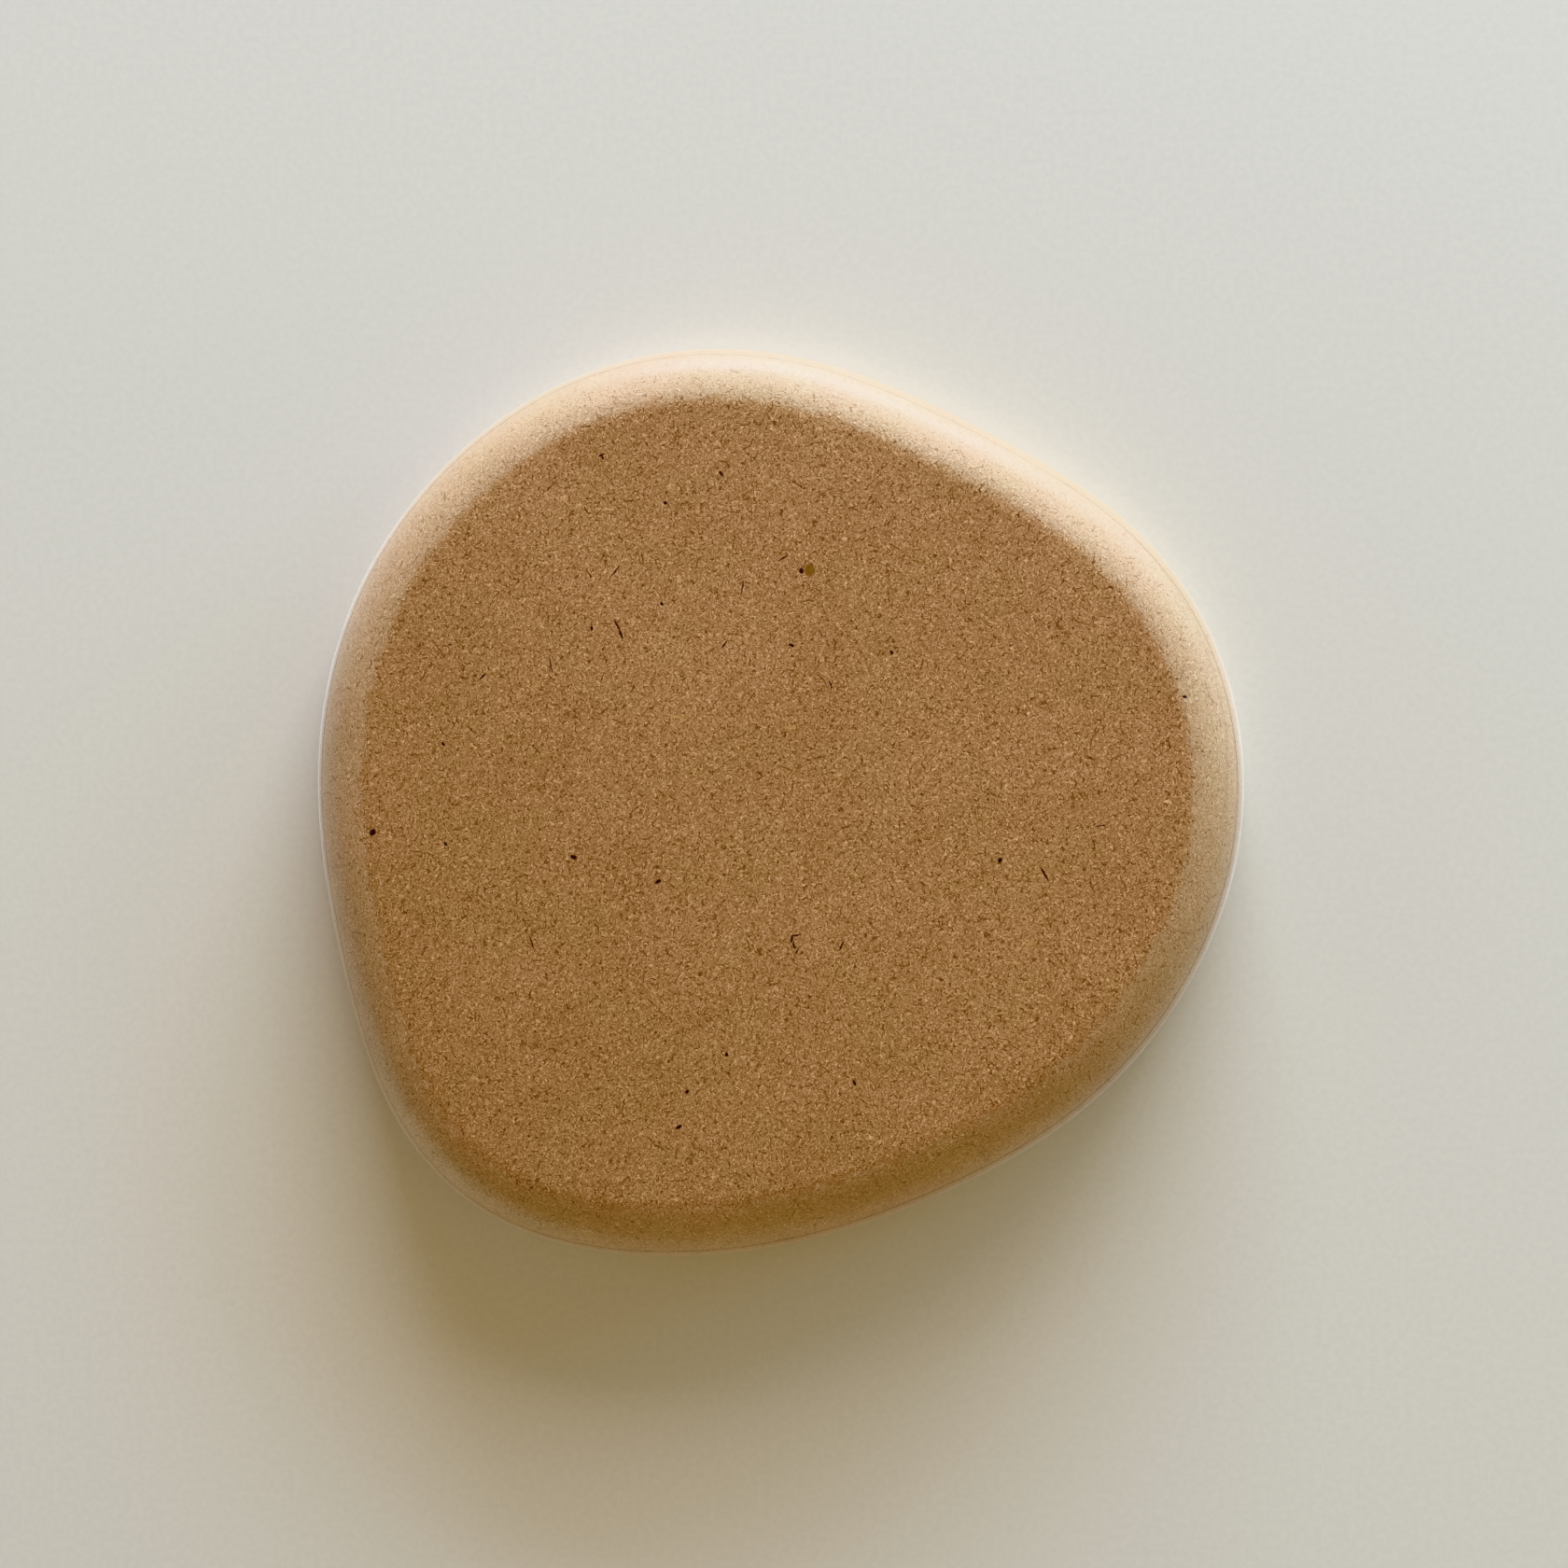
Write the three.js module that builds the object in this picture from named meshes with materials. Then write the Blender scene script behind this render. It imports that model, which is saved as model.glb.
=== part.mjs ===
// Pebble-shaped drape mould for shallow pottery dishes.
// A clay slab is laid over the flat top and pressed down round the rounded rim.
// The form is glued up from sheets of fibreboard, sawn to the pebble outline,
// rounded over along its top edge and left flat underneath.
// Units are millimetres and +Z is up. The origin is at the middle of the outline's
// box, on the face that rests on the bench.

import * as THREE from 'three';

// Driving sizes
const LENGTH = 203; // across the outline along X
const WIDTH = 199.3; // across the outline along Y
const SHEET_THICKNESS = 6.35;
const GLUE_THICKNESS = 0.2;
const ROUND_OVER_RADIUS = 15.9; // quarter round along the top edge
const BASE_EASE = 0.8; // sanded chamfer where the edge meets the underside

// Shape of the pebble
// A circle that swells outwards at a heading and at even turns from it, once per lobe.
// Rise is a share of the circle's radius. Heading is in degrees from +X towards +Y.
const SWELLS = [
  { lobes: 2, rise: 0.0216, heading: 24.3 },
  { lobes: 3, rise: 0.0465, heading: 0 },
  { lobes: 4, rise: 0.0061, heading: -38.6 },
  { lobes: 5, rise: 0.0113, heading: 20.8 },
  { lobes: 6, rise: 0.0029, heading: -15.9 },
  { lobes: 7, rise: 0.0025, heading: 25.6 },
  { lobes: 8, rise: 0.0011, heading: 1.5 },
  { lobes: 9, rise: 0.001, heading: -6.9 },
];

// Layers from the bench up: a glue film lies on each board but the top one
const BOARDS = [
  { name: 'base_board', color: 0x9c784b },
  { name: 'middle_board', color: 0xa37e50 },
  { name: 'top_board', color: 0x9d754b },
];
const GLUE_FILMS = [
  { name: 'lower_glue_line', color: 0x7a5a34 },
  { name: 'upper_glue_line', color: 0x7a5a34 },
];
const BOARD_ROUGHNESS = 0.55;
const GLUE_ROUGHNESS = 0.35;

// Facets
const STEPS_ROUND_OUTLINE = 144;
const ROUND_OVER_STEP = THREE.MathUtils.degToRad(6);

const pitch = SHEET_THICKNESS + GLUE_THICKNESS;
const height = BOARDS.length * SHEET_THICKNESS + GLUE_FILMS.length * GLUE_THICKNESS;

// The quarter round starts above the chamfer, however thin the sheets are.
const rimRadius = Math.min(ROUND_OVER_RADIUS, height - BASE_EASE);
const rimSpring = height - rimRadius;

// The outline before it is brought to its length and width
class PebbleCurve extends THREE.Curve {
  constructor(swells) {
    super();
    this.swells = swells;
  }

  getPoint(t, target = new THREE.Vector2()) {
    const angle = t * 2 * Math.PI;
    const swell = ({ lobes, rise, heading }) =>
      rise * Math.cos(lobes * (angle - THREE.MathUtils.degToRad(heading)));
    const reach = this.swells.reduce((sum, each) => sum + swell(each), 1);
    return target.set(reach * Math.cos(angle), reach * Math.sin(angle));
  }
}

// Points of the full outline, centred on their own box
function outlinePoints() {
  const points = new PebbleCurve(SWELLS).getPoints(STEPS_ROUND_OUTLINE).slice(0, -1);
  const box = new THREE.Box2().setFromPoints(points);
  const centre = box.getCenter(new THREE.Vector2());
  const scale = new THREE.Vector2(LENGTH, WIDTH).divide(box.getSize(new THREE.Vector2()));
  return points.map((point) => point.sub(centre).multiply(scale));
}

// The way out of the form at each point, square to the line through its neighbours
function outwardNormals(points) {
  return points.map((_, i) => {
    const before = points.at(i - 1);
    const after = points[(i + 1) % points.length];
    const along = after.clone().sub(before).normalize();
    return new THREE.Vector2(along.y, -along.x);
  });
}

const outline = outlinePoints();
const outward = outwardNormals(outline);

// How far the edge stands in from the full outline at height z above the bench
function edgeInset(z) {
  if (z < BASE_EASE) return BASE_EASE - z;
  const rise = Math.max(0, z - rimSpring);
  return rimRadius - Math.sqrt(Math.max(0, rimRadius ** 2 - rise ** 2));
}

// One turn round the edge at height z
function edgeRing(z) {
  const inset = edgeInset(z);
  return outline.map((point, i) => {
    const rim = point.clone().addScaledVector(outward[i], -inset);
    return new THREE.Vector3(rim.x, rim.y, z);
  });
}

// Heights of the rings of a layer: its two faces, the corners of the edge between
// them, and even steps round its share of the quarter round
function ringHeights(bottom, top) {
  const corners = [BASE_EASE, rimSpring].filter((z) => z > bottom && z < top);
  const heights = [bottom, ...corners];
  if (top > rimSpring) {
    const start = Math.asin(Math.max(0, bottom - rimSpring) / rimRadius);
    const end = Math.asin(Math.min(1, (top - rimSpring) / rimRadius));
    const steps = Math.ceil((end - start) / ROUND_OVER_STEP);
    for (let i = 1; i < steps; i++) {
      const angle = THREE.MathUtils.lerp(start, end, i / steps);
      heights.push(rimSpring + rimRadius * Math.sin(angle));
    }
  }
  return [...heights, top];
}

// A layer as a closed loft: rings joined by side faces, and two flat faces that fan
// out from their middles
function layerGeometry(bottom, top) {
  const heights = ringHeights(bottom, top);
  const vertices = heights.flatMap(edgeRing);
  const lowerMiddle = vertices.push(new THREE.Vector3(0, 0, bottom)) - 1;
  const upperMiddle = vertices.push(new THREE.Vector3(0, 0, top)) - 1;
  const faces = [];

  outline.forEach((_, i) => {
    const next = (i + 1) % outline.length;
    const topRing = (heights.length - 1) * outline.length;
    faces.push(lowerMiddle, next, i);
    faces.push(upperMiddle, topRing + i, topRing + next);
    for (let ring = 0; ring < topRing; ring += outline.length) {
      const above = ring + outline.length;
      faces.push(ring + i, ring + next, above + next);
      faces.push(ring + i, above + next, above + i);
    }
  });

  const geometry = new THREE.BufferGeometry().setFromPoints(vertices);
  geometry.setIndex(faces);
  geometry.computeVertexNormals();
  return geometry;
}

function layer({ name, color }, roughness, bottom, top) {
  const material = new THREE.MeshStandardMaterial({ color, roughness, metalness: 0 });
  const mesh = new THREE.Mesh(layerGeometry(bottom, top), material);
  mesh.name = name;
  return mesh;
}

// The glued-up stack
const mould = new THREE.Group();

BOARDS.forEach((board, i) => {
  const bottom = i * pitch;
  mould.add(layer(board, BOARD_ROUGHNESS, bottom, bottom + SHEET_THICKNESS));
});

GLUE_FILMS.forEach((film, i) => {
  const bottom = i * pitch + SHEET_THICKNESS;
  mould.add(layer(film, GLUE_ROUGHNESS, bottom, (i + 1) * pitch));
});

export default mould;
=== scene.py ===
"""Dresses a glued-up fibreboard drape mould and lights it as it lies on a pale bench.

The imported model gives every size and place. Each layer of the stack is lofted again as a fine
mesh of the same shape, finished as sealed fibreboard or cured glue, and rides on the root body.
Lengths are in metres, and angles are in degrees where a name doesn't say otherwise.
"""

import logging
import math
from dataclasses import dataclass, field
from enum import Enum
from typing import Iterable, Sequence, Union

import bpy
import numpy as np
from mathutils import Matrix, Vector


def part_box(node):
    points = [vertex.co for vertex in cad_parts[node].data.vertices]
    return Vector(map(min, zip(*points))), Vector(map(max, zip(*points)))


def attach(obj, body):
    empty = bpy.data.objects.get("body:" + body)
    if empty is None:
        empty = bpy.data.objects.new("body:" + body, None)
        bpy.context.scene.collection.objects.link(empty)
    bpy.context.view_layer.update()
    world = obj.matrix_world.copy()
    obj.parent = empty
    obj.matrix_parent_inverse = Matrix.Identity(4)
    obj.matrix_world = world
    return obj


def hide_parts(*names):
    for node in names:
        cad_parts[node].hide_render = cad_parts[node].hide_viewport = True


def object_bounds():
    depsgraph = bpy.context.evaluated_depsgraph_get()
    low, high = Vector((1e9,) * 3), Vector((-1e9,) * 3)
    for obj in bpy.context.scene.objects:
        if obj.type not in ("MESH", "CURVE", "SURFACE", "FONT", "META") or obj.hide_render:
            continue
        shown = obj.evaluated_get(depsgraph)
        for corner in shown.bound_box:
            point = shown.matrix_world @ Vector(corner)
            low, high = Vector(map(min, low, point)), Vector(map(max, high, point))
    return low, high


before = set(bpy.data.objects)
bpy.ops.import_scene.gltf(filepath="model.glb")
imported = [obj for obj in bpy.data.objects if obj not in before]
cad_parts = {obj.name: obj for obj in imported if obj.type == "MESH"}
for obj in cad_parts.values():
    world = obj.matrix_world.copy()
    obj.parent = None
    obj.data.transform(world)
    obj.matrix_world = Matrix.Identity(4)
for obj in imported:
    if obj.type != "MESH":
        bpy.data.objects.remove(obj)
CAD_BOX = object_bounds()

Socket = bpy.types.NodeSocket
Value = Union[float, Sequence[float], Socket]

BODY = "root"
MM = 0.001

# Sockets of Blender's colour Mix node, which has more than one of each name
MIX_SHARE, MIX_FIRST, MIX_SECOND = 0, 6, 7
MIX_COLOUR = 2

# Spans of a noise value: the middle half of its points, and nearly all of them
MIDDLE_OF_NOISE = (0.35, 0.65)
MOST_OF_NOISE = (0.3, 0.7)

# A fibre's lift is set as it looks on a display, so it goes through the display's power
DISPLAY_POWER = 2.2
DARKEST_LIFT = 0.05

log = logging.getLogger("drape_mould")


@dataclass(frozen=True)
class Swell:
    """A wave round the outline: its number of lobes, how far they rise and where one points."""

    lobes: int
    rise: float
    heading: float


PEBBLE = (
    Swell(2, 0.0216, 24.3),
    Swell(3, 0.0465, 0),
    Swell(4, 0.0061, -38.6),
    Swell(5, 0.0113, 20.8),
    Swell(6, 0.0029, -15.9),
    Swell(7, 0.0025, 25.6),
    Swell(8, 0.0011, 1.5),
    Swell(9, 0.001, -6.9),
)


class Tone(Enum):
    """What a mark in the board's face is made of."""

    BARK = "bark"
    FIBRE = "fibre"
    PALE = "pale fibre"
    RESIN = "resin"


@dataclass(frozen=True)
class Mark:
    """A speck or fibre that stands out in the top face, at its real place and size."""

    x: float
    y: float
    length: float
    width: float
    heading: float
    tone: Tone


def marks_in_mm(tone: Tone, *rows: tuple[float, float, float, float, float]) -> tuple[Mark, ...]:
    """Make marks of one tone.

    Args:
        tone: what the marks are made of.
        rows: place along X and Y, length and width in millimetres, and heading in degrees.

    Returns:
        The marks, in metres.
    """
    return tuple(
        Mark(x * MM, y * MM, long * MM, wide * MM, way, tone) for x, y, long, wide, way in rows
    )


BARK_SPECKS = marks_in_mm(
    Tone.BARK,
    (6.0, 49.2, 0.95, 0.75, 100),
    (-85.3, -5.9, 1.3, 0.95, 53),
    (-42.3, -11.1, 1.2, 0.75, 165),
    (-19.9, -68.2, 1.3, 0.6, 30),
    (47.7, -11.6, 0.95, 0.7, 60),
    (-24.3, -16.2, 1.05, 0.6, 31),
    (17.2, -58.5, 1.05, 0.5, 110),
    (3.9, 33.6, 1.0, 0.55, 150),
    (-18.1, -60.7, 0.85, 0.6, 59),
    (-38.4, 37.3, 0.9, 0.55, 100),
    (86.1, 22.6, 0.95, 0.55, 7),
    (-22.7, 63.7, 0.75, 0.6, 160),
    (-9.8, -52.8, 0.85, 0.6, 80),
    (-23.4, 42.4, 0.75, 0.6, 110),
    (-69.6, -8.4, 0.9, 0.5, 132),
    (-70.1, 12.8, 0.85, 0.5, 115),
    (25.0, 32.0, 0.7, 0.5, 107),
)
DARK_FIBRES = marks_in_mm(
    Tone.FIBRE,
    (-32.9, 37.9, 2.2, 0.34, 118),
    (-32.1, 36.0, 1.7, 0.5, 112),
    (57.0, -14.5, 3.0, 0.36, 120),
    (4.0, -28.2, 1.5, 0.42, 78),
    (4.9, -27.5, 1.1, 0.34, 10),
    (4.5, -29.6, 1.4, 0.42, 104),
    (5.2, -30.9, 1.2, 0.24, 62),
    (-61.6, 27.2, 1.5, 0.4, 45),
    (-33.4, 49.3, 2.5, 0.26, 52),
    (14.5, -29.6, 2.0, 0.3, 62),
    (-6.4, 45.8, 2.8, 0.22, 81),
    (-51.2, -29.3, 2.6, 0.24, 109),
    (-47.1, 29.6, 2.8, 0.2, 101),
    (-10.9, 69.8, 1.1, 0.45, 125),
    (-36.2, 73.9, 1.0, 0.35, 20),
    (-36.0, 73.3, 0.8, 0.35, 120),
    (-10.2, 33.8, 1.6, 0.26, 57),
    (2.2, 51.9, 2.1, 0.24, 27),
    (12.2, 25.3, 1.4, 0.3, 110),
    (68.7, -4.3, 1.9, 0.2, 11),
)
PALE_FIBRES = marks_in_mm(
    Tone.PALE,
    (-20.9, 18.7, 3.5, 0.5, 166),
    (-36.2, -19.9, 1.7, 0.5, 80),
    (-33.9, -21.0, 1.5, 0.5, 60),
    (-50.1, 25.4, 1.9, 0.5, 45),
    (53.8, -29.1, 2.1, 0.5, 48),
    (3.6, 16.3, 2.1, 0.5, 179),
)
RESIN_CHIPS = marks_in_mm(Tone.RESIN, (7.75, 49.35, 1.9, 1.75, 80))


class ShaderGraph:
    """The node tree of one material, and short ways to add to it."""

    def __init__(self, name: str) -> None:
        """Make a material of that name with an empty Principled shader.

        Args:
            name: the material's name.
        """
        self.material = bpy.data.materials.new(name)
        self.material.use_nodes = True
        self.tree = self.material.node_tree
        self.shader = self.tree.nodes["Principled BSDF"]

    def feed(self, socket: Socket, value: Value) -> None:
        """Join a socket to another, or set it to a plain value.

        Args:
            socket: the input to fill.
            value: an output socket, a number or a list of numbers.
        """
        if isinstance(value, bpy.types.NodeSocket):
            self.tree.links.new(value, socket)
        else:
            socket.default_value = value

    def add(self, kind: str, inputs: dict, **settings: Union[str, bool, float]) -> bpy.types.Node:
        """Add a node.

        Args:
            kind: Blender's name for the node's type.
            inputs: values by input name or number.
            settings: the node's own properties.

        Returns:
            The new node.
        """
        node = self.tree.nodes.new(kind)
        for key, value in settings.items():
            setattr(node, key, value)
        for key, value in inputs.items():
            self.feed(node.inputs[key], value)
        return node

    def math(self, operation: str, *values: Value) -> Socket:
        """Return the result of a Math node on the values."""
        return self.add("ShaderNodeMath", dict(enumerate(values)), operation=operation).outputs[0]

    def product(self, *values: Value) -> Socket:
        """Return the values multiplied together."""
        result = values[0]
        for value in values[1:]:
            result = self.math("MULTIPLY", result, value)
        return result

    def vector(self, operation: str, *values: Value) -> Socket:
        """Return the vector result of a Vector Math node on the values."""
        node = self.add("ShaderNodeVectorMath", dict(enumerate(values)), operation=operation)
        return node.outputs[0]

    def axes(self, vector: Socket) -> tuple[Socket, ...]:
        """Return the X, Y and Z of a vector."""
        return tuple(self.add("ShaderNodeSeparateXYZ", {0: vector}).outputs)

    def fade(
        self, value: Value, start: float, end: float, low: float = 0.0, high: float = 1.0
    ) -> Socket:
        """Map a value from start..end to low..high with soft ends.

        Args:
            value: the number to map.
            start: where the fade begins.
            end: where the fade ends.
            low: the result at start and before.
            high: the result at end and beyond.

        Returns:
            The mapped number.
        """
        inputs = {
            "Value": value,
            "From Min": start,
            "From Max": end,
            "To Min": low,
            "To Max": high,
        }
        node = self.add("ShaderNodeMapRange", inputs, interpolation_type="SMOOTHSTEP")
        return node.outputs["Result"]

    def mix(self, share: Value, first: Value, second: Value, blend: str = "MIX") -> Socket:
        """Mix two colours.

        Args:
            share: how much of the second colour shows.
            first: the colour at share 0.
            second: the colour at share 1.
            blend: Blender's name for the way they mix.

        Returns:
            The mixed colour.
        """
        node = self.add("ShaderNodeMix", {}, data_type="RGBA", blend_type=blend)
        for number, value in ((MIX_SHARE, share), (MIX_FIRST, first), (MIX_SECOND, second)):
            self.feed(node.inputs[number], value)
        return node.outputs[MIX_COLOUR]

    def noise(self, place: Socket, size: float, detail: float = 2.0, rough: float = 0.5) -> Socket:
        """Return a noise value of about 0 to 1 whose features are a given size across.

        Args:
            place: where on the piece.
            size: how far apart the features lie.
            detail: how many finer octaves are added.
            rough: how strong the finer octaves are.

        Returns:
            The noise.
        """
        inputs = {"Vector": place, "Scale": 1 / size, "Detail": detail, "Roughness": rough}
        return self.add("ShaderNodeTexNoise", inputs).outputs[0]

    def swing(self, place: Socket, size: float, detail: float) -> Socket:
        """Return a noise value that swings about half a unit to either side of zero."""
        return self.math("SUBTRACT", self.noise(place, size, detail), 0.5)

    def bend(self, place: Socket, size: float, reach: float, detail: float = 0.0) -> Socket:
        """Move a place unevenly along X and Y.

        Args:
            place: where on the piece.
            size: how far apart the bends lie.
            reach: how far the furthest points move apart.
            detail: how many finer octaves are added.

        Returns:
            The moved place.
        """
        inputs = {"Vector": place, "Scale": 1 / size, "Detail": detail}
        wander = self.add("ShaderNodeTexNoise", inputs).outputs["Color"]
        centred = self.vector("SUBTRACT", wander, (0.5, 0.5, 0.5))
        return self.vector("ADD", place, self.vector("MULTIPLY", centred, (reach, reach, 0)))

    def place(
        self, shift: Sequence[float] = (0, 0, 0), stretch: Sequence[float] = (1, 1, 1)
    ) -> Socket:
        """Return the point on the piece in its own frame, moved and stretched."""
        point = self.add("ShaderNodeTexCoord", {}).outputs["Object"]
        moved = self.vector("ADD", point, shift)
        return self.vector("MULTIPLY", moved, stretch)


@dataclass(frozen=True)
class FibreFamily:
    """Fibres of one length and thickness that lie flat in a board and point every way."""

    spacing: float
    length: float
    width: float
    bend: float
    share: float
    shift: tuple[float, float, float]
    strata: float = 4.0
    edge: tuple[float, float] = (0.25, 0.75)
    tip: tuple[float, float] = (0.3, 0.5)

    def mask(self, graph: ShaderGraph) -> Socket:
        """Draw the fibres.

        Args:
            graph: the material to draw in.

        Returns:
            1 on a fibre and 0 between fibres.
        """
        place = graph.place(self.shift, (1, 1, self.strata))
        cells = graph.add("ShaderNodeTexVoronoi", {"Vector": place, "Scale": 1 / self.spacing})
        chance = graph.add("ShaderNodeSeparateColor", {0: cells.outputs["Color"]}).outputs
        apart = graph.vector("SUBTRACT", place, cells.outputs["Position"])
        turn = graph.math("MULTIPLY", chance[0], 2 * math.pi)
        inputs = {"Vector": apart, "Angle": turn}
        turned = graph.add("ShaderNodeVectorRotate", inputs, rotation_type="Z_AXIS")
        along, across, _ = graph.axes(turned.outputs[0])
        curl = graph.math("SUBTRACT", chance[1], 0.5)
        sag = graph.product(along, along, curl, self.bend)
        off_line = graph.math("ABSOLUTE", graph.math("SUBTRACT", across, sag))
        body = graph.fade(off_line, *(share * self.width for share in self.edge), 1, 0)
        reach = graph.math("ABSOLUTE", along)
        ends = graph.fade(reach, *(share * self.length for share in self.tip), 1, 0)
        kept = graph.math("LESS_THAN", chance[2], self.share)
        return graph.product(body, ends, kept)


@dataclass(frozen=True)
class MattedFibres:
    """Short curled fibres matted together, drawn along broken and bent cell borders."""

    spacing: float
    width: float
    kept: float
    shift: tuple[float, float, float]
    bend: float = 0.5
    halo: float = 0.45
    strata: float = 3.0
    wander: float = 0.9
    edge: tuple[float, float] = (0.2, 0.8)
    halo_reach: float = 2.4
    soft: float = 0.05

    def mask(self, graph: ShaderGraph) -> Socket:
        """Draw the fibres.

        Args:
            graph: the material to draw in.

        Returns:
            1 on a fibre, a little below 0 beside it and 0 between fibres.
        """
        stretch = (1, 1, self.strata)
        place = graph.place(self.shift, stretch)
        bent = graph.bend(place, self.wander * self.spacing, 2 * self.bend * self.spacing)
        inputs = {"Vector": bent, "Scale": 1 / self.spacing}
        cells = graph.add("ShaderNodeTexVoronoi", inputs, feature="DISTANCE_TO_EDGE")
        across = graph.math("MULTIPLY", cells.outputs["Distance"], self.spacing)
        inner, outer = (share * self.width for share in self.edge)
        core = graph.fade(across, inner, outer, 1 + self.halo, 0)
        beside = graph.fade(across, outer, self.halo_reach * self.width, self.halo, 0)
        line = graph.math("SUBTRACT", core, beside)
        elsewhere = graph.place(self.shift[::-1], stretch)
        breaks = graph.noise(elsewhere, self.wander * self.spacing, 0.0)
        lost = 1 - self.kept
        kept = graph.fade(breaks, lost - self.soft, lost + self.soft)
        return graph.math("MULTIPLY", line, kept)


FIBRE_FAMILIES = (
    (1.1, MattedFibres(1.2 * MM, 0.16 * MM, 0.45, (0.1, 0.2, 0.3))),
    (-1.9, MattedFibres(1.2 * MM, 0.16 * MM, 0.42, (0.4, 0.1, 0.2))),
    (1.0, MattedFibres(0.9 * MM, 0.13 * MM, 0.45, (0.3, 0.5, 0.1))),
    (-1.9, MattedFibres(0.9 * MM, 0.13 * MM, 0.42, (0.2, 0.4, 0.5))),
    (-1.7, FibreFamily(4.5 * MM, 3.0 * MM, 0.25 * MM, 300, 0.25, (0.6, 0.3, 0.4))),
)


@dataclass(frozen=True)
class PaintedReflectionEdge:
    """Painted reflection edge: a faint brown line where the window's reflection on the rim ends,
    sloping along one side of the rim.
    """

    height: float = 16.26 * MM
    slope: float = -0.055
    start: float = -6.0 * MM
    end: float = 66.0 * MM
    width: float = 0.7 * MM
    depth: float = 0.2
    edge: tuple[float, float] = (0.15, 0.6)
    swing: float = 0.8 * MM
    swing_size: float = 9 * MM
    start_fade: float = 8 * MM
    end_fade: float = 12 * MM

    def mask(self, graph: ShaderGraph) -> Socket:
        """Draw the line.

        Args:
            graph: the material to draw in.

        Returns:
            How much of the dark colour shows: the depth on the line and 0 away from it.
        """
        place = graph.place()
        x, y, z = graph.axes(place)
        wander = graph.math("MULTIPLY", graph.swing(place, self.swing_size, 1.0), self.swing)
        line = graph.math("ADD", graph.math("MULTIPLY_ADD", y, self.slope, self.height), wander)
        off_line = graph.math("ABSOLUTE", graph.math("SUBTRACT", z, line))
        body = graph.fade(off_line, *(share * self.width for share in self.edge), self.depth, 0)
        begun = graph.fade(y, self.start, self.start + self.start_fade)
        ended = graph.fade(y, self.end - self.end_fade, self.end, 1, 0)
        return graph.product(body, begun, ended, graph.math("GREATER_THAN", x, 0.0))


@dataclass(frozen=True)
class SatinSealer:
    """A clear satin sealer, glossy where the rim is seen edge on and worn matt on the flat top."""

    rim_roughness: float = 0.65
    face_roughness: float = 0.8
    grain_roughness: float = 0.1
    grain_size: float = 0.8 * MM
    refraction: float = 1.5
    specular: float = 0.4
    sheen: float = 0.4
    sheen_roughness: float = 0.3
    coat_span: tuple[float, float] = (0.2, 0.7)
    coat_roughness: float = 0.4
    fibre_relief: float = 0.35
    relief_strength: float = 0.25
    relief_depth: float = 0.03 * MM

    def brush_on(self, graph: ShaderGraph, facing: Socket, height: Socket) -> None:
        """Set the gloss and the small relief of a board.

        Args:
            graph: the board's material.
            facing: 1 on the flat top and 0 on the rim.
            height: the fibres' tone, which stands for their height.
        """
        sockets = graph.shader.inputs
        grain = graph.noise(graph.place(), self.grain_size, 2.0)
        matted = graph.fade(facing, 0, 1, self.rim_roughness, self.face_roughness)
        roughness = graph.math("MULTIPLY_ADD", grain, self.grain_roughness, matted)
        graph.feed(sockets["Roughness"], roughness)
        sockets["IOR"].default_value = self.refraction
        sockets["Specular IOR Level"].default_value = self.specular
        sockets["Sheen Weight"].default_value = self.sheen
        sockets["Sheen Roughness"].default_value = self.sheen_roughness
        grazing = graph.add("ShaderNodeLayerWeight", {"Blend": 0.5}).outputs["Facing"]
        kept = graph.math("SUBTRACT", 1.0, facing)
        coat = graph.product(graph.fade(grazing, *self.coat_span), kept)
        graph.feed(sockets["Coat Weight"], coat)
        sockets["Coat Roughness"].default_value = self.coat_roughness
        relief = {
            "Strength": self.relief_strength,
            "Distance": self.relief_depth,
            "Height": graph.math("MULTIPLY_ADD", height, self.fibre_relief, grain),
        }
        graph.feed(sockets["Normal"], graph.add("ShaderNodeBump", relief).outputs[0])


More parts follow.
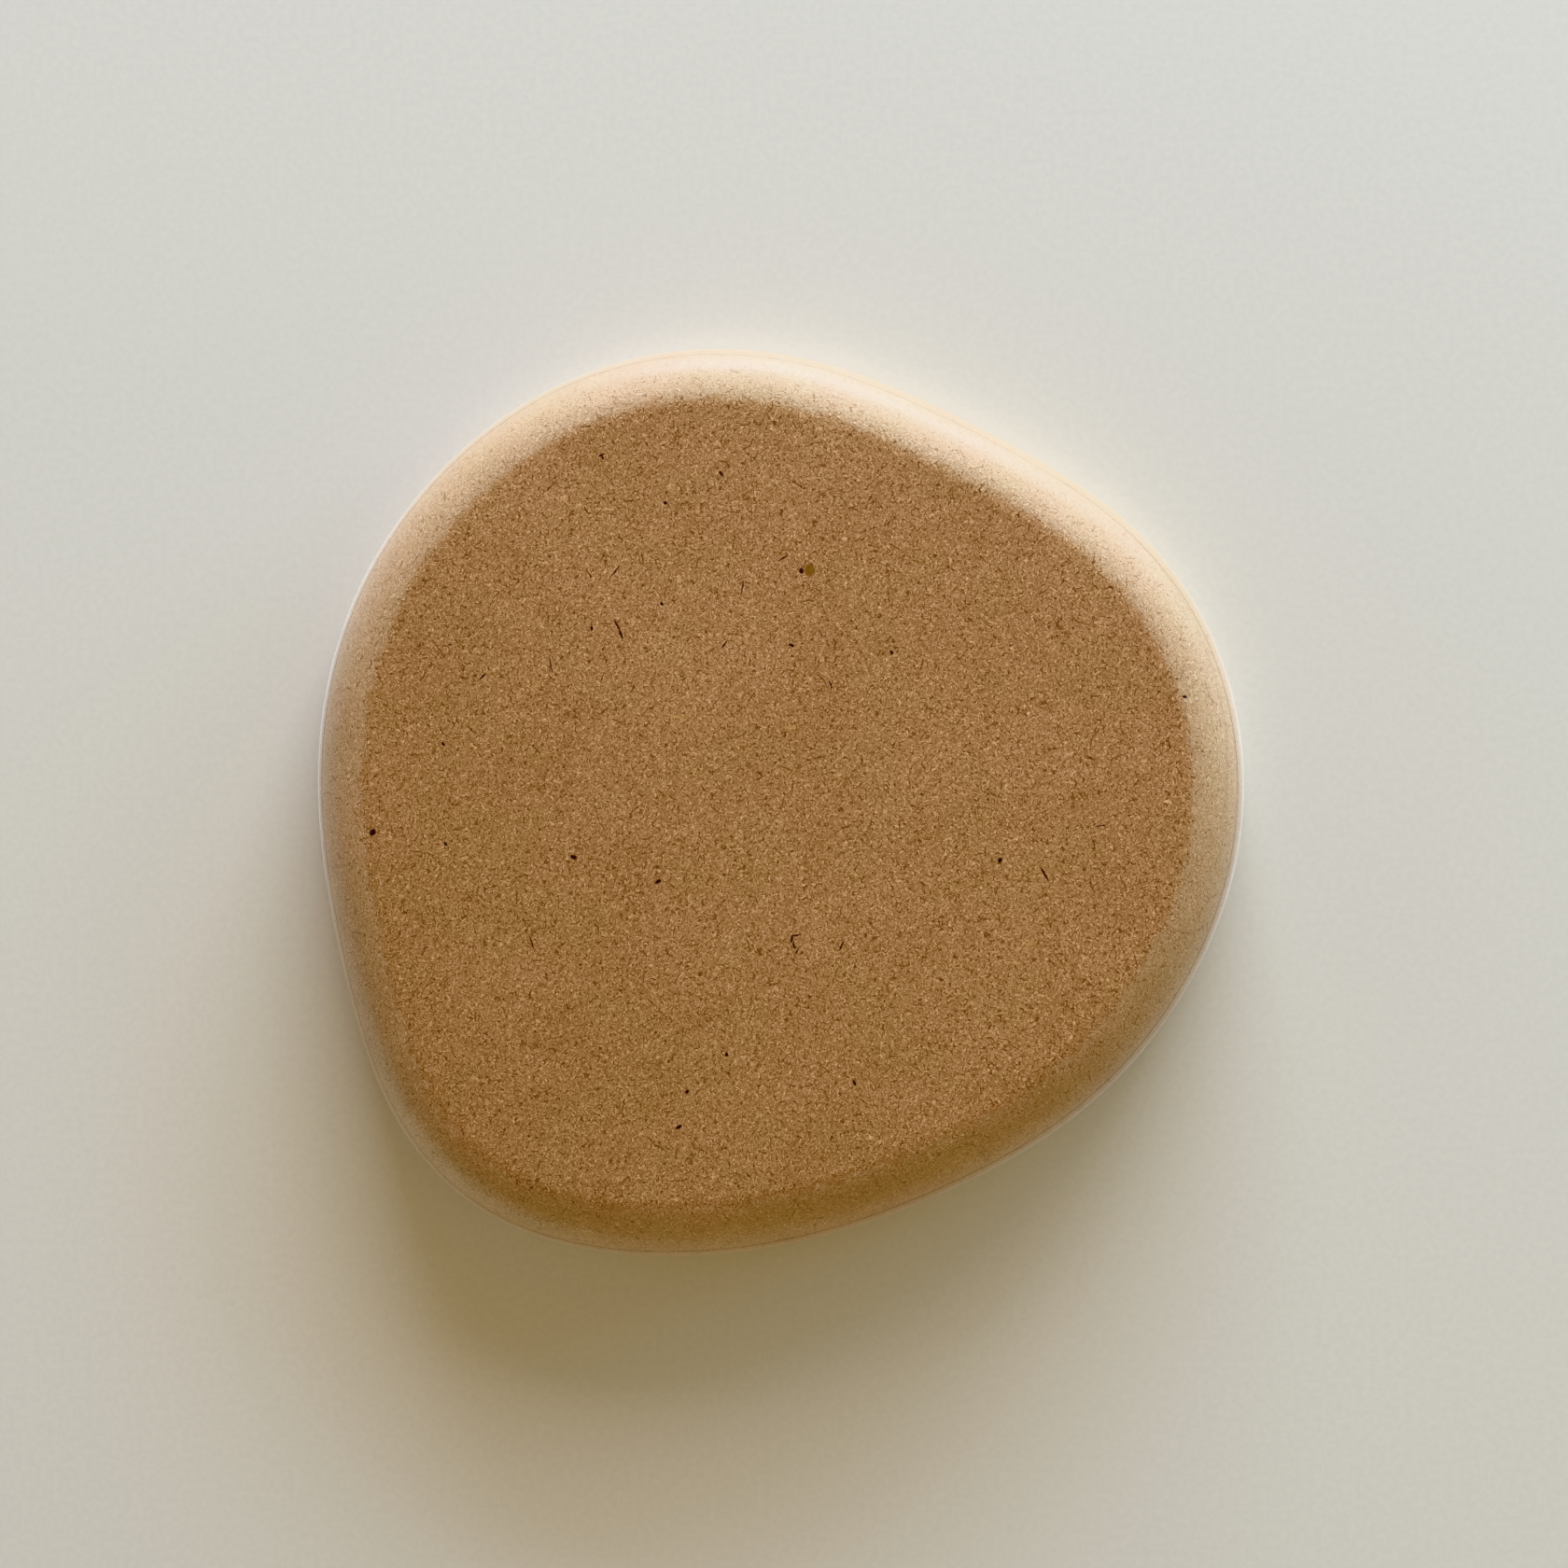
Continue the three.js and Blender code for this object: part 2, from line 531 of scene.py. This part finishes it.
@dataclass(frozen=True)
class FibreboardFinish:
    """Medium-density fibreboard, sanded and sealed: fine matted fibres with a few dark ones."""

    name: str
    bottom: float
    top: float
    face_colour: tuple[float, float, float, float] = (0.42, 0.219, 0.091, 1)
    # The flat face's colour at the lower left, where it is darker
    lower_left_colour: tuple[float, float, float, float] = (0.387, 0.2, 0.079, 1)
    rim_colour: tuple[float, float, float, float] = (0.482, 0.294, 0.153, 1)
    # Dark skins of the boards, and also the colour of the painted reflection edge on the rim
    dark_colour: tuple[float, float, float, float] = (0.2, 0.085, 0.018, 1)
    pale_colour: tuple[float, float, float, float] = (0.58, 0.32, 0.12, 1)
    fibre_lift: tuple[float, float, float] = (0.157, 0.205, 0.29)
    clouds: tuple[tuple[float, float], ...] = ((3 * MM, 0.2), (8 * MM, 0.3), (24 * MM, 0.4))
    families: tuple[tuple[float, Union[MattedFibres, FibreFamily]], ...] = FIBRE_FAMILIES
    fuzz: float = 2.8
    fuzz_size: float = 0.38 * MM
    fuzz_strata: float = 3.0
    limit: float = 3.2
    knee: float = 1.5
    rim_fibres: float = 0.65
    border_size: float = 4 * MM
    border_roughness: float = 0.6
    border_spread: tuple[float, float] = (0.5, 1.7)
    border_tilt: tuple[float, float] = (0.0001, 0.02)
    lower_left_span: tuple[float, float] = (-15 * MM, 85 * MM)
    patch_size: float = 16 * MM
    yellow_tint: tuple[float, float, float, float] = (0.985, 1.0, 0.985, 1)
    rosy_tint: tuple[float, float, float, float] = (1.015, 1.0, 1.02, 1)
    skin_depth: float = 0.9 * MM
    skin_share: float = 0.04
    bark_colour: tuple[float, float, float, float] = (0.03, 0.0, 0.0, 1)
    fibre_colour: tuple[float, float, float, float] = (0.05, 0.004, 0.0, 1)
    resin_colour: tuple[float, float, float, float] = (0.2, 0.085, 0.0, 1)
    marks: tuple[Mark, ...] = ()
    mark_bend: float = 0.4 * MM
    mark_bend_size: float = 0.9 * MM
    mark_depth: float = 0.5 * MM
    mark_span: tuple[float, float] = (1.0, 1.5)
    # Painted reflection edge: the dark line where the window's reflection on the rim ends
    reflection_edge: PaintedReflectionEdge = PaintedReflectionEdge()
    sealer: SatinSealer = SatinSealer()

    def material(self) -> bpy.types.Material:
        """Return the finish as a material."""
        graph = ShaderGraph(self.name)
        facing = self._facing_up(graph)
        colour, height = self._fibres(graph, facing)
        colour = self._clouds(graph, colour)
        colour = self._marked(graph, colour)
        # Paints the dark edge of the window's reflection on the rim into the base colour
        colour = graph.mix(self.reflection_edge.mask(graph), colour, self.dark_colour)
        graph.feed(graph.shader.inputs["Base Color"], colour)
        self.sealer.brush_on(graph, facing, height)
        return graph.material

    def _facing_up(self, graph: ShaderGraph) -> Socket:
        """Return 1 on the flat top and 0 past an uneven border, where the rim has turned away."""
        normal = graph.add("ShaderNodeNewGeometry", {}).outputs["Normal"]
        _, _, up = graph.axes(normal)
        noise = graph.noise(graph.place(), self.border_size, 2.0, self.border_roughness)
        uneven = graph.fade(noise, *MOST_OF_NOISE, *self.border_spread)
        tilt = graph.math("MULTIPLY", graph.math("SUBTRACT", 1.0, up), uneven)
        return graph.fade(tilt, *self.border_tilt, 1, 0)

    def _fibres(self, graph: ShaderGraph, facing: Socket) -> tuple[Socket, Socket]:
        """Lay the matted fibres over the plain board.

        Args:
            graph: the material to draw in.
            facing: 1 on the flat top and 0 on the rim.

        Returns:
            The colour, and the fibres' tone: above 0 on pale fibres and below 0 on dark ones.
        """
        tone: Value = 0.0
        for depth, family in self.families:
            tone = graph.math("MULTIPLY_ADD", family.mask(graph), depth, tone)
        fuzz = graph.swing(graph.place(stretch=(1, 1, self.fuzz_strata)), self.fuzz_size, 0.0)
        tone = graph.math("MULTIPLY_ADD", fuzz, self.fuzz, tone)
        worn = graph.fade(facing, 0, 1, self.rim_fibres, 1)
        tone = graph.math("MULTIPLY", tone, worn)
        reach = self.knee * self.limit
        tone = graph.fade(tone, -reach, reach, -self.limit, self.limit)
        for size, depth in self.clouds:
            cloud = graph.swing(graph.place((size, 0, 0)), size, 1.0)
            tone = graph.math("MULTIPLY_ADD", cloud, depth, tone)
        gains = {}
        for number, lift in enumerate(self.fibre_lift):
            lifted = graph.math("MULTIPLY_ADD", tone, lift, 1.0)
            kept = graph.math("MAXIMUM", lifted, DARKEST_LIFT)
            gains[number] = graph.math("POWER", kept, DISPLAY_POWER)
        gain = graph.add("ShaderNodeCombineColor", gains).outputs[0]
        board = graph.mix(facing, self.rim_colour, self._face_darker_to_lower_left(graph))
        return graph.mix(1.0, board, gain, "MULTIPLY"), tone

    def _face_darker_to_lower_left(self, graph: ShaderGraph) -> Socket:
        """Return the flat face's colour, darker and deeper towards the lower left (-X and -Y)."""
        x, y, _ = graph.axes(graph.place())
        away = graph.math("MULTIPLY", graph.math("ADD", x, y), -math.sqrt(0.5))
        return graph.mix(graph.fade(away, *self.lower_left_span), self.face_colour, self.lower_left_colour)

    def _clouds(self, graph: ShaderGraph, colour: Socket) -> Socket:
        """Return the colour with soft rosy and yellow patches, and darker skins at both faces."""
        place = graph.place()
        patches = graph.fade(graph.noise(place, self.patch_size, 2.0), *MIDDLE_OF_NOISE)
        tint = graph.mix(patches, self.yellow_tint, self.rosy_tint)
        tinted = graph.mix(1.0, colour, tint, "MULTIPLY")
        _, _, z = graph.axes(place)
        middle = (self.bottom + self.top) / 2
        half = (self.top - self.bottom) / 2
        depth = graph.math("ABSOLUTE", graph.math("SUBTRACT", z, middle))
        skin = graph.fade(depth, half - self.skin_depth, half, 0, self.skin_share)
        return graph.mix(skin, tinted, self.dark_colour)

    def _marked(self, graph: ShaderGraph, colour: Socket) -> Socket:
        """Return the colour with the marks that stand out in the top face."""
        looks = {
            Tone.BARK: (self.bark_colour, 1.0),
            Tone.FIBRE: (self.fibre_colour, 1.0),
            Tone.PALE: (self.pale_colour, 0.7),
            Tone.RESIN: (self.resin_colour, 0.9),
        }
        if not self.marks:
            return colour
        place = graph.bend(graph.place(), self.mark_bend_size, self.mark_bend, 1)
        for mark in self.marks:
            inputs = {
                "Vector": place,
                "Location": (mark.x, mark.y, self.top),
                "Rotation": (0, 0, math.radians(mark.heading)),
                "Scale": (mark.length / 2, mark.width / 2, self.mark_depth),
            }
            local = graph.add("ShaderNodeMapping", inputs, vector_type="TEXTURE").outputs[0]
            length = graph.add("ShaderNodeVectorMath", {0: local}, operation="LENGTH")
            tint, depth = looks[mark.tone]
            share = graph.fade(length.outputs["Value"], *self.mark_span, depth, 0)
            colour = graph.mix(share, colour, tint)
        return colour


@dataclass(frozen=True)
class GlueFinish:
    """Cured wood glue, sanded flush with the boards: brown-yellow, a little uneven, glossier."""

    name: str
    colour: tuple[float, float, float, float] = (0.24, 0.125, 0.045, 1)
    dark_colour: tuple[float, float, float, float] = (0.13, 0.06, 0.02, 1)
    patch_size: float = 5 * MM
    roughness: float = 0.35

    def material(self) -> bpy.types.Material:
        """Return the finish as a material."""
        graph = ShaderGraph(self.name)
        starved = graph.fade(graph.noise(graph.place(), self.patch_size, 3.0), *MIDDLE_OF_NOISE)
        colour = graph.mix(starved, self.colour, self.dark_colour)
        graph.feed(graph.shader.inputs["Base Color"], colour)
        graph.shader.inputs["Roughness"].default_value = self.roughness
        return graph.material


@dataclass(frozen=True)
class BenchFinish:
    """A plain pale bench top with a faint, fine tooth."""

    name: str = "pale_bench"
    colour: tuple[float, float, float, float] = (0.78, 0.75, 0.69, 1)
    tooth_size: float = 1.5 * MM
    tooth_roughness: float = 0.6
    tooth_shade: float = 0.96
    roughness: float = 0.8
    specular: float = 0.2

    def material(self) -> bpy.types.Material:
        """Return the finish as a material."""
        graph = ShaderGraph(self.name)
        tooth = graph.noise(graph.place(), self.tooth_size, 3.0, self.tooth_roughness)
        shade = graph.fade(tooth, *MOST_OF_NOISE, self.tooth_shade, 1.0)
        colour = graph.mix(1.0, self.colour, shade, "MULTIPLY")
        graph.feed(graph.shader.inputs["Base Color"], colour)
        graph.shader.inputs["Roughness"].default_value = self.roughness
        graph.shader.inputs["Specular IOR Level"].default_value = self.specular
        return graph.material


@dataclass
class PebbleOutline:
    """The pebble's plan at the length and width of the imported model."""

    length: float
    width: float
    swells: tuple[Swell, ...] = PEBBLE
    steps: int = 720
    points: np.ndarray = field(init=False, repr=False)
    outward: np.ndarray = field(init=False, repr=False)

    def __post_init__(self) -> None:
        """Work out the points of the plan, and the way out of the form at each."""
        angle = np.linspace(0, 2 * math.pi, self.steps, endpoint=False)
        reach = np.ones(self.steps)
        for swell in self.swells:
            reach += swell.rise * np.cos(swell.lobes * (angle - math.radians(swell.heading)))
        plan = np.stack([reach * np.cos(angle), reach * np.sin(angle)], axis=1)
        low, high = plan.min(axis=0), plan.max(axis=0)
        self.points = (plan - (low + high) / 2) * (self.length, self.width) / (high - low)
        along = np.roll(self.points, -1, axis=0) - np.roll(self.points, 1, axis=0)
        along /= np.linalg.norm(along, axis=1, keepdims=True)
        self.outward = np.stack([along[:, 1], -along[:, 0]], axis=1)

    def ring(self, inset: float, height: float, share: float = 1.0) -> np.ndarray:
        """Make one turn round the form.

        Args:
            inset: how far in from the full outline it runs.
            height: how high it lies.
            share: how much of the way out from the middle it runs.

        Returns:
            One row of X, Y and Z for each step.
        """
        plan = (self.points - self.outward * inset) * share
        return np.column_stack([plan, np.full(self.steps, height)])


@dataclass
class EdgeProfile:
    """The section of the rim, from the bench up: chamfer, upright band and quarter round."""

    height: float
    radius: float = 15.9 * MM
    ease: float = 0.8 * MM
    step: float = math.radians(1.0)

    @property
    def spring(self) -> float:
        """Return the height where the quarter round starts."""
        return self.height - self.radius

    def inset(self, z: float) -> float:
        """Return how far the edge stands in from the full outline at a height."""
        if z < self.ease:
            return self.ease - z
        rise = min(max(0.0, z - self.spring), self.radius)
        return self.radius - math.sqrt(self.radius**2 - rise**2)

    def heights(self, bottom: float, top: float) -> list[float]:
        """List the heights of the rings between two faces of a layer.

        Args:
            bottom: height of the lower face.
            top: height of the upper face.

        Returns:
            Heights from bottom to top, close together where the edge curves.
        """
        found = [bottom] + [z for z in (self.ease, self.spring) if bottom < z < top]
        if top > self.spring:
            start = math.asin(max(0.0, bottom - self.spring) / self.radius)
            end = math.asin(min(1.0, (top - self.spring) / self.radius))
            steps = math.ceil((end - start) / self.step)
            turns = np.linspace(start, end, steps + 1)[1:-1]
            found += [self.spring + self.radius * math.sin(turn) for turn in turns]
        return found + [top]


@dataclass
class StackLayer:
    """A board or a glue film: a closed slice of the form between two heights."""

    node: str
    name: str
    slot: str
    outline: PebbleOutline
    profile: EdgeProfile
    face_rings: int = 12
    corner: float = math.radians(20)

    def build(self) -> bpy.types.Object:
        """Loft the layer as a closed mesh in the place of its CAD node.

        Returns:
            The new piece.
        """
        low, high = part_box(self.node)
        heights = self.profile.heights(low.z, high.z)
        rings = [self.outline.ring(self.profile.inset(z), z) for z in heights]
        shares = np.linspace(0, 1, self.face_rings + 1)[1:-1]
        lowest, highest = self.profile.inset(low.z), self.profile.inset(high.z)
        under = [self.outline.ring(lowest, low.z, share) for share in shares]
        over = [self.outline.ring(highest, high.z, share) for share in shares[::-1]]
        mesh = self._skin(under + rings + over)
        piece = bpy.data.objects.new(self.name, mesh)
        bpy.context.scene.collection.objects.link(piece)
        return piece

    def _skin(self, rings: list[np.ndarray]) -> bpy.types.Mesh:
        """Join rings into a closed skin, from the middle of one face to the middle of the other.

        Args:
            rings: turns round the form, in order.

        Returns:
            The mesh, smooth but for the corners where the faces meet the edge.
        """
        count = len(rings[0])
        middles = [ring.mean(axis=0) for ring in (rings[0], rings[-1])]
        points = np.vstack([*rings, *middles])
        index = np.arange(count)
        after = np.roll(index, -1)
        pairs = list(zip(index.tolist(), after.tolist()))
        faces: list[tuple[int, ...]] = []
        for start in range(0, (len(rings) - 1) * count, count):
            sides = (start + index, start + after, start + count + after, start + count + index)
            faces += list(zip(*(side.tolist() for side in sides)))
        last = (len(rings) - 1) * count
        faces += [(len(points) - 2, b, a) for a, b in pairs]
        faces += [(len(points) - 1, last + a, last + b) for a, b in pairs]
        mesh = bpy.data.meshes.new(self.name)
        mesh.from_pydata(points.tolist(), [], faces)
        mesh.shade_smooth()
        mesh.set_sharp_from_angle(angle=self.corner)
        mesh.validate()
        return mesh

    def dress(self, piece: bpy.types.Object, material: bpy.types.Material) -> None:
        """Give the piece its material, and let it stand for its CAD node on the root body."""
        piece.data.materials.append(material)
        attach(piece, BODY)
        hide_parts(self.node)


@dataclass
class MouldStack:
    """The whole mould: three fibreboard sheets with a glue film between each two."""

    length: float
    width: float
    height: float

    def layers(self) -> Iterable[tuple[StackLayer, Union[FibreboardFinish, GlueFinish]]]:
        """Yield each layer with its finish, from the bench up."""
        outline = PebbleOutline(self.length, self.width)
        profile = EdgeProfile(self.height)
        marks = PALE_FIBRES + BARK_SPECKS + DARK_FIBRES + RESIN_CHIPS
        rows = (
            ("base_board", "base_sheet", ()),
            ("lower_glue_line", "lower_glue_film", None),
            ("middle_board", "middle_sheet", ()),
            ("upper_glue_line", "upper_glue_film", None),
            ("top_board", "top_sheet", marks),
        )
        for node, name, held in rows:
            low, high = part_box(node)
            slot = "glue" if held is None else node
            layer = StackLayer(node, name, slot, outline, profile)
            if held is None:
                yield layer, GlueFinish(name)
            else:
                yield layer, FibreboardFinish(name, low.z, high.z, marks=held)

    def build(self) -> None:
        """Build and dress every layer, and report it."""
        for layer, finish in self.layers():
            piece = layer.build()
            layer.dress(piece, finish.material())
            faces = len(piece.data.polygons)
            log.info("%s stands for %s: %d faces", piece.name, layer.node, faces)


@dataclass(frozen=True)
class SoftLight:
    """A soft rectangular light: where it hangs, and how wide and high it looks from the mould."""

    name: str
    heading: float
    elevation: float
    wide: float
    high: float
    strength: tuple[float, float, float]
    distance: float = 3.0

    def build(self) -> None:
        """Hang the light and turn it towards the mould."""
        lamp = bpy.data.lights.new(self.name, "AREA")
        lamp.shape = "RECTANGLE"
        lamp.size = 2 * self.distance * math.tan(math.radians(self.wide / 2))
        lamp.size_y = 2 * self.distance * math.tan(math.radians(self.high / 2))
        brightest = max(self.strength)
        lamp.energy = 4 * math.pi * self.distance**2 * brightest
        lamp.color = [share / brightest for share in self.strength]
        light = bpy.data.objects.new(self.name, lamp)
        light.visible_camera = False
        heading, lift = math.radians(self.heading), math.radians(self.elevation)
        level = math.cos(lift)
        away = Vector((math.cos(heading) * level, math.sin(heading) * level, math.sin(lift)))
        light.location = away * self.distance
        light.rotation_euler = away.to_track_quat("Z", "Y").to_euler()
        bpy.context.scene.collection.objects.link(light)


@dataclass(frozen=True)
class OverheadCamera:
    """The camera of the photograph: held above the mould and tipped a little."""

    place: tuple[float, float, float] = (17 * MM, 7 * MM, 361.2 * MM)
    target: tuple[float, float, float] = (1.89 * MM, 4.31 * MM, 8 * MM)
    sensor: float = 36.0
    focal_share: float = 1740 / 1680
    nearest: float = 0.01

    def build(self) -> None:
        """Set the camera up with the top of the picture towards +Y."""
        data = bpy.data.cameras.new("overhead_camera")
        data.sensor_width = self.sensor
        data.lens = self.sensor * self.focal_share
        data.clip_start = self.nearest
        camera = bpy.data.objects.new("overhead_camera", data)
        back = (Vector(self.place) - Vector(self.target)).normalized()
        right = Vector((0, 1, 0)).cross(back).normalized()
        turn = Matrix((right, back.cross(right), back)).transposed().to_4x4()
        camera.matrix_world = Matrix.Translation(self.place) @ turn
        bpy.context.scene.collection.objects.link(camera)
        bpy.context.scene.camera = camera


@dataclass
class Studio:
    """A pale bench under soft light: a low cool window behind it, pale walls and a warm room."""

    bench_size: float = 6.0
    room_colour: tuple[float, float, float, float] = (0.345, 0.235, 0.13, 1)
    wall_colour: tuple[float, float, float, float] = (1.05, 1.08, 1.0, 1)
    wall_top: float = 8.0
    wall_fade: float = 18.0
    lights: tuple[SoftLight, ...] = (
        SoftLight("window_low", 82, 8, 44, 12, (1.136, 1.652, 2.246)),
        SoftLight("window_middle", 80, 18, 44, 14, (0.603, 0.57, 0.579)),
        SoftLight("window_high", 80, 32, 44, 18, (0.029, 0.02, 0.0)),
        SoftLight("east_wall", 38, 9, 40, 14, (0.177, 0.378, 0.568)),
        SoftLight("west_wall", 175, 10, 50, 16, (0.0, 0.039, 0.09)),
        SoftLight("south_west_wall", 225, 5, 50, 10, (0.06, 0.095, 0.068)),
        SoftLight("south_east_lamp", 320, 35, 60, 36, (0.048, 0.063, 0.007)),
    )

    def build(self) -> None:
        """Lay the bench, hang the lights and set the camera."""
        self._lay_bench()
        for light in self.lights:
            light.build()
            log.info("%s hangs at %d degrees", light.name, light.heading)
        self._fill_room()
        OverheadCamera().build()
        settings = bpy.context.scene.view_settings
        settings.view_transform = "Khronos PBR Neutral"

    def _lay_bench(self) -> None:
        """Lay the bench top under the mould, as stage."""
        half = self.bench_size / 2
        corners = [(-half, -half, 0), (half, -half, 0), (half, half, 0), (-half, half, 0)]
        mesh = bpy.data.meshes.new("bench_top")
        mesh.from_pydata(corners, [], [(0, 1, 2, 3)])
        mesh.materials.append(BenchFinish().material())
        bench = bpy.data.objects.new("bench_top", mesh)
        bpy.context.scene.collection.objects.link(bench)
        log.info("bench_top is %.1f m across", self.bench_size)

    def _fill_room(self) -> None:
        """Fill the room with a pale band of light all round, and an even, warm light above it."""
        world = bpy.data.worlds.new("room")
        world.use_nodes = True
        nodes, links = world.node_tree.nodes, world.node_tree.links
        split = nodes.new("ShaderNodeSeparateXYZ")
        links.new(nodes.new("ShaderNodeTexCoord").outputs["Generated"], split.inputs[0])
        fade = nodes.new("ShaderNodeMapRange")
        fade.interpolation_type = "SMOOTHSTEP"
        fade.inputs["From Min"].default_value = math.sin(math.radians(self.wall_top))
        fade.inputs["From Max"].default_value = math.sin(math.radians(self.wall_fade))
        links.new(split.outputs[2], fade.inputs["Value"])
        blend = nodes.new("ShaderNodeMix")
        blend.data_type = "RGBA"
        blend.inputs[MIX_FIRST].default_value = self.wall_colour
        blend.inputs[MIX_SECOND].default_value = self.room_colour
        links.new(fade.outputs[0], blend.inputs[MIX_SHARE])
        links.new(blend.outputs[MIX_COLOUR], nodes["Background"].inputs["Color"])
        bpy.context.scene.world = world


def main() -> None:
    """Build the studio and the mould."""
    logging.basicConfig(level=logging.INFO, format="%(name)s: %(message)s")
    Studio().build()
    low, high = CAD_BOX
    MouldStack(high.x - low.x, high.y - low.y, high.z).build()


if __name__ == "__main__":
    main()
